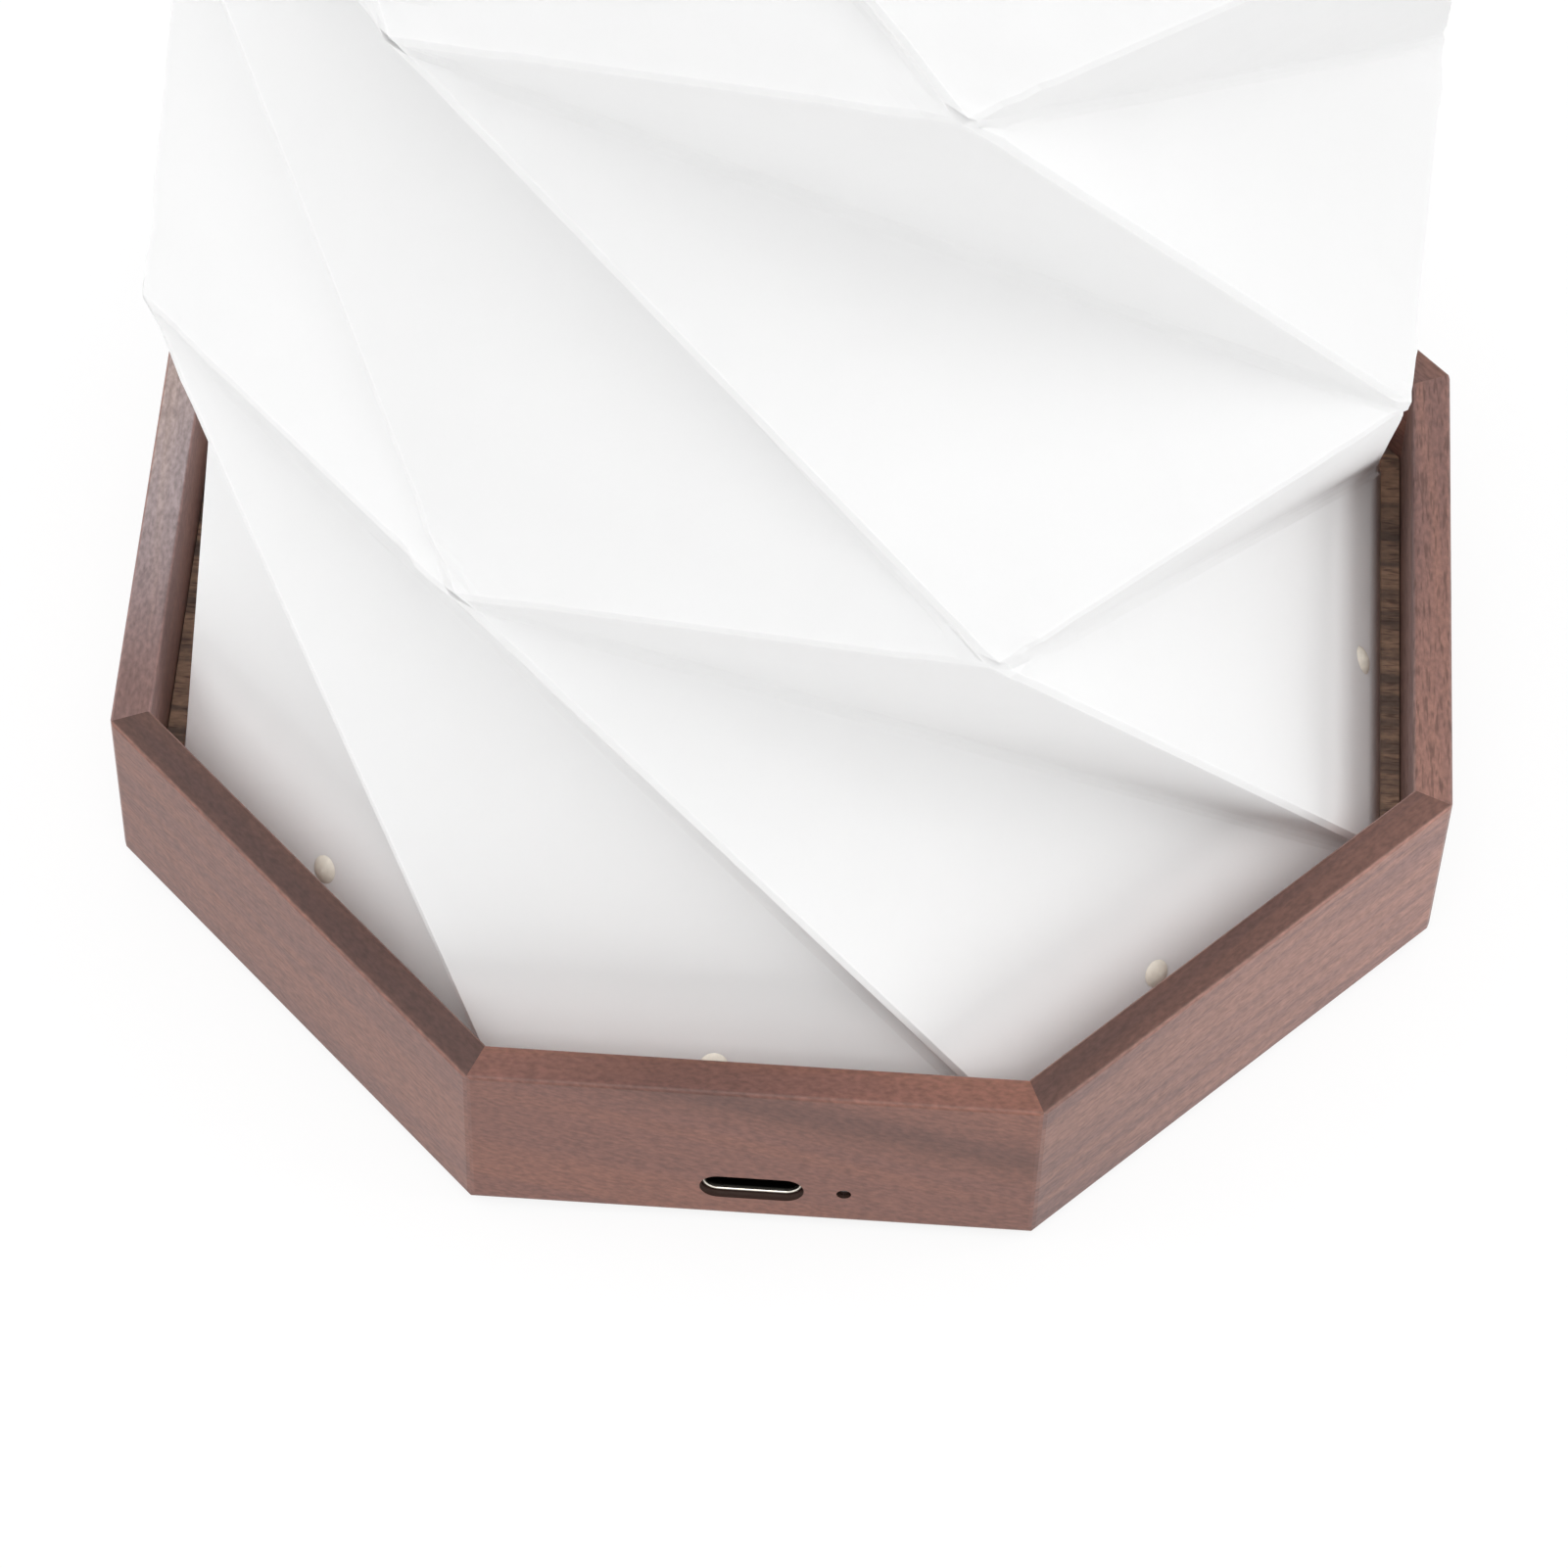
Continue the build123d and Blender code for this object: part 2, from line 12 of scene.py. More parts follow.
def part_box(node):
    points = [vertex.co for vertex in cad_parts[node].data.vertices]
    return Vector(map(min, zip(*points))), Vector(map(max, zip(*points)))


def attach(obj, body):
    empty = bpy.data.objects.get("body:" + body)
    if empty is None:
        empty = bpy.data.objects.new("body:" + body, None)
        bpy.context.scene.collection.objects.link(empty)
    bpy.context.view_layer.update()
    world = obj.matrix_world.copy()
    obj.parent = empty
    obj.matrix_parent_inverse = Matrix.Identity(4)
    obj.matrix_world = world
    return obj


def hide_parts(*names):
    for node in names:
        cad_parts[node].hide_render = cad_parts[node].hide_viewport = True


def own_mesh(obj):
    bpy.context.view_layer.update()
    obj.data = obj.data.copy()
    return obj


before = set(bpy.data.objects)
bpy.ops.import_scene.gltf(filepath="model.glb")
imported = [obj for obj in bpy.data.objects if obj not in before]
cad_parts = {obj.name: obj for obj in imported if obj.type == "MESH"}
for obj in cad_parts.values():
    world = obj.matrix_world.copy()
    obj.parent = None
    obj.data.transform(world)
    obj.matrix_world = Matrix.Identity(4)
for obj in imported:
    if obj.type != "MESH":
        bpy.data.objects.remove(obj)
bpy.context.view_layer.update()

bl_info = {
    "name": "Folding Bedside Lamp",
    "version": (1, 0, 0),
    "blender": (4, 5, 0),
    "location": "View3D > Sidebar > Lamp",
    "description": "Folds the paper shade of a bedside lamp and finishes its walnut trays",
    "category": "Object",
}

MM = 0.001
SIDES = 8
STEP = math.tau / SIDES
# How far corners of the shade stand off their even places as folded by hand, in millimetres, by ring and corner
OFFSETS = {
    (0, 3): (-0.7, 0.0, 0.0),
    (1, 4): (-0.81, -1.29, -0.94),
    (1, 5): (-0.59, 1.04, 0.84),
    (1, 6): (-0.32, 0.51, 0.37),
    (1, 7): (-0.35, 1.03, 0.81),
    (2, 5): (0.69, -0.73, -0.76),
    (2, 6): (-1.02, 0.48, 0.43),
}


class Board(NamedTuple):
    """How a walnut board was cut from the plank, and the light and shade painted on its faces."""
    tilt: float  # of the grain, in degrees
    sides: tuple  # share of grey walnut and level of the colour on upright faces, lighter and greyer on some boards as a painted sheen
    top: tuple  # the same on upper faces, mostly darker as painted shade
    stripe: float  # width of a stripe across the grain, in millimetres
    depth: float  # how far the stripes lighten and darken the wood
    pores: float  # how far the open pores darken it
    sheen_ramp: float  # how far the level rises from one end to the other, as a painted sheen
    darkened_below: float = 0.0  # level in millimetres below which faces that don't look outward are darkened
    streak: float = 100.0  # distance of a dark streak from the grain line through the origin, in millimetres
    bleach: float = 0.0  # share of painted glare at the far end of the upper face


RAILS = {
    "right": Board(2, (1.0, 1.0), (0.55, 0.98), 3.0, 0.13, 0.5, 0.0),
    "back_right": Board(-3, (0.4, 1.0), (0.4, 0.7), 2.6, 0.1, 0.3, 0.0),
    "back": Board(5, (0.2, 0.95), (0.4, 0.8), 3.0, 0.1, 0.3, 0.0),
    "back_left": Board(2, (0.3, 1.0), (0.5, 0.7), 2.6, 0.1, 0.3, 0.0),
    "left": Board(-2, (1.0, 1.3), (0.85, 0.86), 3.0, 0.08, 0.15, 0.0, bleach=0.85),
    "front_left": Board(3, (0.35, 0.97), (0.35, 0.38), 3.0, 0.08, 0.15, 0.0),
    "front": Board(-15, (0.12, 0.99), (0.1, 0.86), 7.0, 0.07, 0.1, 0.0, darkened_below=12, streak=18.4),
    "front_right": Board(-1, (0.7, 1.16), (0.3, 0.48), 2.4, 0.14, 0.1, 0.18),
}
FLOOR = Board(0, (0.0, 1.18), (0.0, 1.18), 1.7, 0.5, 0.6, 0.0)
LID_PANEL = Board(0, (0.4, 0.95), (0.4, 0.95), 6.0, 0.1, 0.4, 0.0)


def linear(code):
    """Linear RGBA of an sRGB hex colour."""
    channels = []
    for start in (1, 3, 5):
        value = int(code[start:start + 2], 16) / 255
        channels.append(value / 12.92 if value <= 0.04045 else ((value + 0.055) / 1.055) ** 2.4)
    return (*channels, 1.0)


def colour_property(name, description, code):
    return FloatVectorProperty(
        name=name, description=description, subtype="COLOR", size=4, min=0.0, max=1.0, default=linear(code)
    )


def length_property(name, description, size):
    return FloatProperty(name=name, description=description, unit="LENGTH", min=0.0, precision=5, default=size)


class LampShadeSettings(bpy.types.PropertyGroup):
    thickness: length_property("Paper thickness", "Thickness of the folded sheet", 0.3 * MM)
    cuts: IntProperty(name="Panel cuts", description="Cuts along each fold of a panel", min=3, default=27)
    valley_band: length_property("Valley band", "Half width of the rounded inward folds", 6.0 * MM)
    wave_height: length_property("Wave height", "Depth of the slow waves in a panel", 0.6 * MM)
    wave_length: length_property("Wave length", "Distance between the slow waves", 26 * MM)
    crumple_height: length_property("Crumple height", "Depth of the crumples at the fold corners", 1.5 * MM)
    crumple_reach: length_property("Crumple reach", "How far the crumples spread from a fold corner", 8.0 * MM)
    crease_width: length_property("Crease width", "Width of the pressed fold line", 0.35 * MM)
    light_reach: length_property("Light reach", "How far light spreads inside the paper", 0.5 * MM)
    paper: colour_property("Paper", "Face of the paper", "#fafafa")
    # Whiter line along the ridges: part pressed paper, part painted highlight
    crease_and_highlight: colour_property("Crease", "Pressed line of the paper's folds", "#ffffff")


class LampFinishSettings(bpy.types.PropertyGroup):
    walnut_red: colour_property("Red walnut", "Reddest boards of the trays", "#805346")
    walnut_grey: colour_property("Grey walnut", "Greyest boards of the trays", "#866760")
    walnut_pore: colour_property("Pores", "Open pores of the walnut", "#452f28")
    # Pale tone of the glare painted on the far end of the left rail's upper face
    walnut_glare: colour_property("Pale walnut", "Walnut bleached by daylight", "#aa9a98")
    floor: colour_property("Tray floor", "Thin walnut panel in the base", "#775e4e")
    ivory: colour_property("Rivets", "Moulded ivory of the rivet heads", "#f5efe1")
    collar: colour_property("Collars", "Moulded white of the shade rings", "#e9e8e4")
    cover: colour_property("Cover", "Moulded bottom cover", "#3c332e")
    rubber: colour_property("Pad", "Anti-slip pad", "#2b2a29")
    port_metal: colour_property("Port", "Plated shell of the charging port", "#ece6db")


class LampStageSettings(bpy.types.PropertyGroup):
    horizon: FloatProperty(name="Horizon", description="Strength of the light from the sides", min=0.0, default=0.02)
    zenith: FloatProperty(name="Zenith", description="Strength of the light from above", min=0.0, default=1.2)
    key: FloatProperty(name="Key", description="Power of the large lamp at the right, in watts", min=0.0, default=43.0)
    fill: FloatProperty(name="Fill", description="Power of the large lamp at the left, in watts", min=0.0, default=37.0)
    front: FloatProperty(name="Front", description="Power of the large lamp in front, in watts", min=0.0, default=63.0)
    ground: colour_property("Ground", "Floor under the lamp", "#fdfdfd")
    whiteness: FloatProperty(
        name="Whiteness", description="Share of the floor that the camera sees as plain white",
        min=0.0, max=1.0, default=0.85,
    )


def add(tree, kind, settings, inputs):
    """Adds a node: settings are its properties, inputs the values of its sockets or the outputs that feed them."""
    node = tree.nodes.new("ShaderNode" + kind)
    for name, value in settings.items():
        setattr(node, name, value)
    for key, value in inputs.items():
        if isinstance(value, bpy.types.NodeSocket):
            tree.links.new(value, node.inputs[key])
        else:
            node.inputs[key].default_value = value
    return node


def new_material(name):
    """An empty node material, its tree and its Object coordinates."""
    material = bpy.data.materials.new(name)
    material.use_nodes = True
    tree = material.node_tree
    tree.nodes.clear()
    return material, tree, add(tree, "TexCoord", {}, {})


def surface(tree, inputs):
    """Ends a material's tree in a Principled surface."""
    shader = add(tree, "BsdfPrincipled", {}, inputs)
    add(tree, "OutputMaterial", {}, {"Surface": shader.outputs["BSDF"]})


def seen_rays(tree):
    """One for rays from the camera, in reflections and through glass, else zero."""
    rays = add(tree, "LightPath", {}, {})
    mirrored = add(
        tree, "Math", {"operation": "MAXIMUM"},
        {0: rays.outputs["Is Glossy Ray"], 1: rays.outputs["Is Transmission Ray"]},
    )
    return add(
        tree, "Math", {"operation": "MAXIMUM"}, {0: rays.outputs["Is Camera Ray"], 1: mirrored.outputs[0]}
    ).outputs[0]


def wear(nodes, material):
    """Puts one material on CAD nodes."""
    for name in nodes:
        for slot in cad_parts[name].material_slots:
            slot.material = material


def folded_paper(settings):
    """Spun-fibre paper, calendered and folded: a matt white face that lets light through, with faint fibres and pressed
    creases, drawn whiter partly as a painted highlight.
    """
    material, tree, coords = new_material("calendered_fibre_paper")
    place = coords.outputs["Object"]
    fibre_place = add(tree, "Mapping", {}, {"Vector": place, "Scale": (1 / (0.5 * MM), 1 / (0.5 * MM), 1 / (7 * MM))})
    fibres = add(tree, "TexNoise", {}, {"Vector": fibre_place.outputs[0], "Scale": 1.0, "Detail": 3.0})
    cloud = add(tree, "TexNoise", {}, {"Vector": place, "Scale": 1 / (8 * MM), "Detail": 2.0})
    tone = add(tree, "MapRange", {}, {"Value": cloud.outputs["Fac"], 1: 0.3, 2: 0.7, 3: 0.985, 4: 1.0})
    clouded = add(
        tree, "Mix", {"data_type": "RGBA", "blend_type": "MULTIPLY"},
        {0: 1.0, 6: tuple(settings.paper), 7: tone.outputs[0]},
    )
    # Near the ridges the paper turns whiter: part pressed paper, part painted highlight
    fold = add(tree, "Attribute", {"attribute_name": "crease_and_highlight"}, {})
    line = add(tree, "Math", {"operation": "POWER"}, {0: fold.outputs["Fac"], 1: 4.0})
    faced = add(
        tree, "Mix", {"data_type": "RGBA"}, {0: line.outputs[0], 6: clouded.outputs[2], 7: tuple(settings.crease_and_highlight)}
    )
    relief = add(tree, "Bump", {}, {"Strength": 0.1, "Distance": 0.05 * MM, "Height": fibres.outputs["Fac"]})
    surface(tree, {
        "Base Color": faced.outputs[2], "Roughness": 0.65, "Specular IOR Level": 0.3, "Normal": relief.outputs[0],
        "Subsurface Weight": 0.6, "Subsurface Radius": (1.0, 1.0, 1.0), "Subsurface Scale": settings.light_reach,
    })
    return material


def oiled_walnut(name, board, angle, shift, tones):
    """Oiled walnut, sawn along the grain and rubbed smooth: soft stripes, a finer fleck and short dark pores.

    angle is the direction in which the board's face looks, and tones are its red, its grey, its pores and the pale tone
    of the glare painted on it.
    """
    material, tree, coords = new_material(name)
    red, grey, pore_tone, glare_tone = tones
    # Upright and upper faces get their own tones: upper faces darker as painted shade, upright faces of some boards
    # lighter and greyer as painted sheen
    sides, top = (
        tuple(level * (r + share * (g - r)) for r, g in zip(red[:3], grey[:3])) + (1.0,)
        for share, level in (board.sides, board.top)
    )
    along = add(
        tree, "Mapping", {"vector_type": "TEXTURE"},
        {"Vector": coords.outputs["Object"], "Rotation": (math.radians(board.tilt), 0, angle)},
    ).outputs[0]
    moved = add(tree, "VectorMath", {"operation": "ADD"}, {0: along, 1: shift}).outputs[0]
    noises = []
    for width, length, detail, distortion in (
        (board.stripe * MM, 24 * board.stripe * MM, 2.0, 0.5),
        (0.35 * MM, 0.8 * MM, 2.0, 0.0),
        (0.26 * MM, 2.2 * MM, 1.0, 0.0),
    ):
        place = add(
            tree, "VectorMath", {"operation": "MULTIPLY"}, {0: moved, 1: (1 / width, 1 / length, 1 / width)}
        )
        noise = add(
            tree, "TexNoise", {},
            {"Vector": place.outputs[0], "Scale": 1.0, "Detail": detail, "Distortion": distortion},
        )
        noises.append(noise.outputs["Fac"])
    # Mask of the upper faces, which take the top tone with its painted shade
    upward = add(tree, "SeparateXYZ", {}, {0: coords.outputs["Normal"]})
    painted_top_shade = add(tree, "MapRange", {}, {"Value": upward.outputs["Z"], 1: 0.75, 2: 0.95})
    run = add(tree, "SeparateXYZ", {}, {0: along})
    # Painted glare: the upper face turns pale towards the far end of the board
    painted_glare_share = add(tree, "MapRange", {"interpolation_type": "SMOOTHSTEP"}, {
        "Value": run.outputs["Y"], 1: 22 * MM, 2: -6 * MM, 4: board.bleach,
    })
    upper = add(tree, "Mix", {"data_type": "RGBA"}, {0: painted_glare_share.outputs[0], 6: top, 7: glare_tone})
    toned = add(tree, "Mix", {"data_type": "RGBA"}, {0: painted_top_shade.outputs[0], 6: sides, 7: upper.outputs[2]})
    striped = add(tree, "MapRange", {"interpolation_type": "SMOOTHSTEP"}, {"Value": noises[0], 1: 0.35, 2: 0.65})
    early, late = 1 + board.depth, 1 - board.depth
    stripes = add(tree, "Mix", {"data_type": "RGBA"}, {
        0: striped.outputs[0], 6: (1.02 * early, early, 0.95 * early, 1.0), 7: (0.98 * late, late, 1.05 * late, 1.0),
    })
    flecked = add(tree, "MapRange", {}, {"Value": noises[1], 1: 0.3, 2: 0.7, 3: 1.22, 4: 0.78})
    # Painted sheen: the level rises along the board from one end to the other
    painted_sheen_ramp = add(tree, "MapRange", {}, {
        "Value": run.outputs["Y"], 1: -25 * MM, 2: 25 * MM, 3: 1 - board.sheen_ramp, 4: 1 + board.sheen_ramp,
    })
    offset = add(tree, "Math", {"operation": "SUBTRACT"}, {0: run.outputs["Z"], 1: board.streak * MM})
    apart = add(tree, "Math", {"operation": "ABSOLUTE"}, {0: offset.outputs[0]})
    streaked = add(tree, "MapRange", {"interpolation_type": "SMOOTHSTEP"}, {
        "Value": apart.outputs[0], 1: 0.0, 2: 4.5 * MM, 3: 0.72, 4: 1.0,
    })
    drawn = add(tree, "Math", {"operation": "MULTIPLY"}, {0: painted_sheen_ramp.outputs[0], 1: streaked.outputs[0]})
    share = add(tree, "Math", {"operation": "MULTIPLY"}, {0: flecked.outputs[0], 1: drawn.outputs[0]})
    faced = add(
        tree, "Mix", {"data_type": "RGBA", "blend_type": "MULTIPLY"}, {0: 1.0, 6: toned.outputs[2], 7: stripes.outputs[2]}
    )
    shaded = add(
        tree, "Mix", {"data_type": "RGBA", "blend_type": "MULTIPLY"}, {0: 1.0, 6: faced.outputs[2], 7: share.outputs[0]}
    )
    pored = add(tree, "MapRange", {"interpolation_type": "SMOOTHSTEP"}, {
        "Value": noises[2], 1: 0.52, 2: 0.68, 4: board.pores,
    })
    porous = add(tree, "Mix", {"data_type": "RGBA"}, {0: pored.outputs[0], 6: shaded.outputs[2], 7: pore_tone})
    outward = add(tree, "VectorMath", {"operation": "DOT_PRODUCT"}, {
        0: coords.outputs["Normal"], 1: (math.cos(angle), math.sin(angle), 0.0),
    })
    # Faces that don't look outward, below the board's level, are darkened towards the pore tone
    aside = add(tree, "Math", {"operation": "LESS_THAN"}, {0: outward.outputs["Value"], 1: 0.5})
    place = add(tree, "SeparateXYZ", {}, {0: coords.outputs["Object"]})
    low = add(tree, "Math", {"operation": "LESS_THAN"}, {0: place.outputs["Z"], 1: board.darkened_below * MM})
    darkened_below = add(tree, "Math", {"operation": "MULTIPLY"}, {0: aside.outputs[0], 1: low.outputs[0]})
    base = add(tree, "Mix", {"data_type": "RGBA"}, {0: darkened_below.outputs[0], 6: porous.outputs[2], 7: darker(pore_tone, 0.7)})
    dull = add(tree, "MapRange", {}, {"Value": pored.outputs[0], 3: 0.45, 4: 0.7})
    relief = add(
        tree, "Bump", {"invert": True}, {"Strength": 0.3, "Distance": 0.05 * MM, "Height": pored.outputs[0]}
    )
    surface(tree, {"Base Color": base.outputs[2], "Roughness": dull.outputs[0], "Normal": relief.outputs[0]})
    return material


def mottled(name, colour, shade, grain, roughness, metallic, relief):
    """A finish with a fine grain: colour and shade mixed by a noise of that grain size, raised by relief."""
    material, tree, coords = new_material(name)
    noise = add(tree, "TexNoise", {}, {"Vector": coords.outputs["Object"], "Scale": 1 / grain, "Detail": 3.0})
    share = add(tree, "MapRange", {}, {"Value": noise.outputs["Fac"], 1: 0.3, 2: 0.7})
    toned = add(tree, "Mix", {"data_type": "RGBA"}, {0: share.outputs[0], 6: colour, 7: shade})
    worn = add(tree, "MapRange", {}, {"Value": noise.outputs["Fac"], 3: roughness - 0.06, 4: roughness + 0.06})
    raised = add(tree, "Bump", {}, {"Strength": 0.3, "Distance": relief, "Height": noise.outputs["Fac"]})
    surface(tree, {
        "Base Color": toned.outputs[2], "Roughness": worn.outputs[0], "Metallic": metallic, "Normal": raised.outputs[0],
    })
    return material


def plated_port(name, colour, lip):
    """Stamped and plated steel, brushed by plugs: a bright lip at the front and a throat painted dark behind it as
    shade.
    """
    material, tree, coords = new_material(name)
    scratches = add(tree, "TexNoise", {}, {"Vector": coords.outputs["Object"], "Scale": 1 / (0.3 * MM), "Detail": 3.0})
    place = add(tree, "SeparateXYZ", {}, {0: coords.outputs["Object"]})
    # Painted shade: the shell's colour darkens with depth behind the lip
    painted_throat_shade = add(tree, "MapRange", {"interpolation_type": "SMOOTHSTEP"}, {
        "Value": place.outputs["Y"], 1: lip + 0.15 * MM, 2: lip + 0.5 * MM,
    })
    toned = add(tree, "Mix", {"data_type": "RGBA"}, {0: painted_throat_shade.outputs[0], 6: colour, 7: darker(colour, 0.05)})
    worn = add(tree, "MapRange", {}, {"Value": scratches.outputs["Fac"], 3: 0.22, 4: 0.38})
    surface(tree, {"Base Color": toned.outputs[2], "Roughness": worn.outputs[0], "Metallic": 1.0})
    return material


def darker(colour, share):
    return (*(channel * share for channel in colour[:3]), 1.0)


def rail_angle(name):
    """Direction in which a rail's outer face looks, from its outermost corners."""
    points = [v.co.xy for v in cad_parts[name].data.vertices]
    reach = max(p.length for p in points)
    corners = {(round(p.x, 5), round(p.y, 5)) for p in points if p.length > reach - 0.02 * MM}
    return math.atan2(sum(y for x, y in corners), sum(x for x, y in corners))


def shade_rings():
    """Radius, height and turn of each ring of the CAD shade's corners, from the bottom up."""
    points = [v.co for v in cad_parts["paper_shade"].data.vertices]
    widest = max(p.xy.length for p in points)
    rings = []
    for height in sorted({round(p.z / MM, 1) for p in points if p.xy.length > 0.93 * widest}):
        level = [p for p in points if abs(p.z / MM - height) < 0.06]
        radius = max(p.xy.length for p in level)
        turn = min(math.atan2(p.y, p.x) % STEP for p in level if p.xy.length > radius - 0.02 * MM)
        rings.append((radius, height * MM, turn))
    return rings


def distance_to(points, segments):
    """Distance of each point to the nearest segment."""
    nearest = np.full(len(points), 1.0)
    for start, end in segments:
        a, run = np.array(start), np.array(end - start)
        share = np.clip((points - a) @ run / (run @ run), 0, 1)
        nearest = np.minimum(nearest, np.linalg.norm(points - a - share[:, None] * run, axis=1))
    return nearest


def vertex_points(piece):
    points = np.zeros(len(piece.data.vertices) * 3)
    piece.data.vertices.foreach_get("co", points)
    return points.reshape(-1, 3)


def select_vertices(piece, chosen):
    """Leaves piece in edit mode with the chosen vertices selected."""
    bpy.ops.object.mode_set(mode="EDIT")
    bpy.ops.mesh.select_mode(type="VERT")
    bpy.ops.mesh.select_all(action="DESELECT")
    bpy.ops.object.mode_set(mode="OBJECT")
    piece.data.vertices.foreach_set("select", np.asarray(chosen, dtype=bool))
    bpy.ops.object.mode_set(mode="EDIT")


def weight(piece, name, weights):
    """A vertex group with one weight per vertex."""
    group = piece.vertex_groups.new(name=name)
    for index, value in enumerate(weights):
        if value > 0.01:
            group.add([index], float(value), "REPLACE")
    return group.name


def ruffle(piece, group, size, height):
    """Pushes the vertices of a group in and out by slow clouds."""
    cloud = bpy.data.textures.new(group, type="CLOUDS")
    cloud.noise_scale = size
    cloud.noise_depth = 1
    push = piece.modifiers.new(group, "DISPLACE")
    push.texture = cloud
    push.texture_coords = "LOCAL"
    push.vertex_group = group
    push.strength = height
    push.mid_level = 0.5
    bpy.ops.object.modifier_apply(modifier=push.name)


class LAMP_OT_fold_shade(bpy.types.Operator):
    """Fold the paper shade from a tube with eight sides"""
    bl_idname = "lamp.fold_shade"
    bl_label = "Fold Paper Shade"

    def execute(self, context):
        settings = context.scene.lamp_shade
        rings = shade_rings()
        if len(rings) < 3:
            raise RuntimeError("the CAD shade has too few rings of corners")
        bpy.ops.object.select_all(action="DESELECT")
        radius, height, turn = rings[0]
        bpy.ops.mesh.primitive_circle_add(
            vertices=SIDES, radius=radius, location=(0, 0, height), rotation=(0, 0, turn)
        )
        shade = context.object
        shade.name = "folded_paper_shade"
        bpy.ops.object.transform_apply(location=True, rotation=True, scale=True)
        bpy.ops.object.mode_set(mode="EDIT")
        bpy.ops.mesh.select_all(action="SELECT")
        for below, above in zip(rings, rings[1:]):
            bpy.ops.mesh.extrude_edges_move(TRANSFORM_OT_translate={"value": (0, 0, above[1] - below[1])})
            ridge_turn = STEP + (below[2] - above[2]) % STEP
            bpy.ops.transform.rotate(value=ridge_turn, orient_axis="Z", center_override=(0, 0, 0))
            spread = above[0] / below[0]
            bpy.ops.transform.resize(value=(spread, spread, 1), center_override=(0, 0, 0))
        bpy.ops.mesh.select_all(action="SELECT")
        bpy.ops.mesh.normals_make_consistent(inside=False)
        bpy.ops.mesh.quads_convert_to_tris(quad_method="LONGEST_DIAGONAL")
        bpy.ops.object.mode_set(mode="OBJECT")
        for (ring, corner), offset in OFFSETS.items():
            radius, height, turn = rings[ring]
            angle = turn + corner * STEP
            even = Vector((radius * math.cos(angle), radius * math.sin(angle), height))
            nearest = min(shade.data.vertices, key=lambda v: (v.co - even).length)
            nearest.co += Vector(offset) * MM
        places = [v.co.copy() for v in shade.data.vertices]
        ring_of = [min(range(len(rings)), key=lambda i: abs(rings[i][1] - p.z)) for p in places]
        ridges, valleys = [], []
        lengths = {tuple(e.vertices): (places[e.vertices[0]] - places[e.vertices[1]]).length for e in shade.data.edges}
        for (first, second), length in lengths.items():
            upright = ring_of[first] != ring_of[second]
            is_valley = upright and length > 92 * MM
            is_end = not upright and ring_of[first] in (0, len(rings) - 1)
            if is_valley:
                valleys.append((places[first], places[second]))
            elif not is_end:
                ridges.append((places[first], places[second]))
        tips = [(p, p + Vector((0, 0, 0.01 * MM))) for p, i in zip(places, ring_of) if 0 < i < len(rings) - 1]
        bpy.ops.object.mode_set(mode="EDIT")
        bpy.ops.mesh.select_all(action="SELECT")
        bpy.ops.mesh.subdivide(number_cuts=settings.cuts)
        bpy.ops.object.mode_set(mode="OBJECT")

        flat = vertex_points(shade)
        to_ridge = distance_to(flat, ridges)
        to_valley = distance_to(flat, valleys)
        to_tip = distance_to(flat, tips)
        to_end = np.minimum(flat[:, 2] - rings[0][1], rings[-1][1] - flat[:, 2])
        select_vertices(shade, (to_valley < settings.valley_band) & (to_ridge > 1.2 * MM) & (to_end > 0.5 * MM))
        bpy.ops.mesh.vertices_smooth(factor=0.5, repeat=4)
        bpy.ops.object.mode_set(mode="OBJECT")
        panel = np.clip(to_ridge / (12 * MM), 0.12, 1) * np.clip(to_end / (12 * MM), 0, 1)
        crumple = np.exp(-((to_tip / settings.crumple_reach) ** 2))
        # Nearness to the ridges, where the paper is drawn whiter as pressed paper and painted highlight
        crease_and_highlight = shade.data.attributes.new("crease_and_highlight", "FLOAT", "POINT")
        crease_and_highlight.data.foreach_set("value", np.exp(-to_ridge / settings.crease_width).astype(np.float32))
        ruffle(shade, weight(shade, "paper_waves", panel), settings.wave_length, settings.wave_height)
        ruffle(shade, weight(shade, "paper_crumples", crumple), settings.crumple_reach / 2, settings.crumple_height)
        pressed = shade.modifiers.new("pressed_folds", "BEVEL")
        pressed.limit_method = "ANGLE"
        pressed.angle_limit = math.radians(22)
        pressed.width = settings.crease_width
        pressed.segments = 1
        bpy.ops.object.modifier_apply(modifier=pressed.name)
        bpy.ops.object.shade_smooth_by_angle(angle=math.radians(14))
        sheet = shade.modifiers.new("sheet", "SOLIDIFY")
        sheet.thickness = settings.thickness
        sheet.offset = -1
        bpy.ops.object.modifier_apply(modifier=sheet.name)
        shade.vertex_groups.clear()
        shade.data.materials.append(folded_paper(settings))

        bottom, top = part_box("paper_shade")
        height = top.z - bottom.z
        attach(shade, "base")
        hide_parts("paper_shade")
        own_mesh(shade)
        return {"FINISHED"}


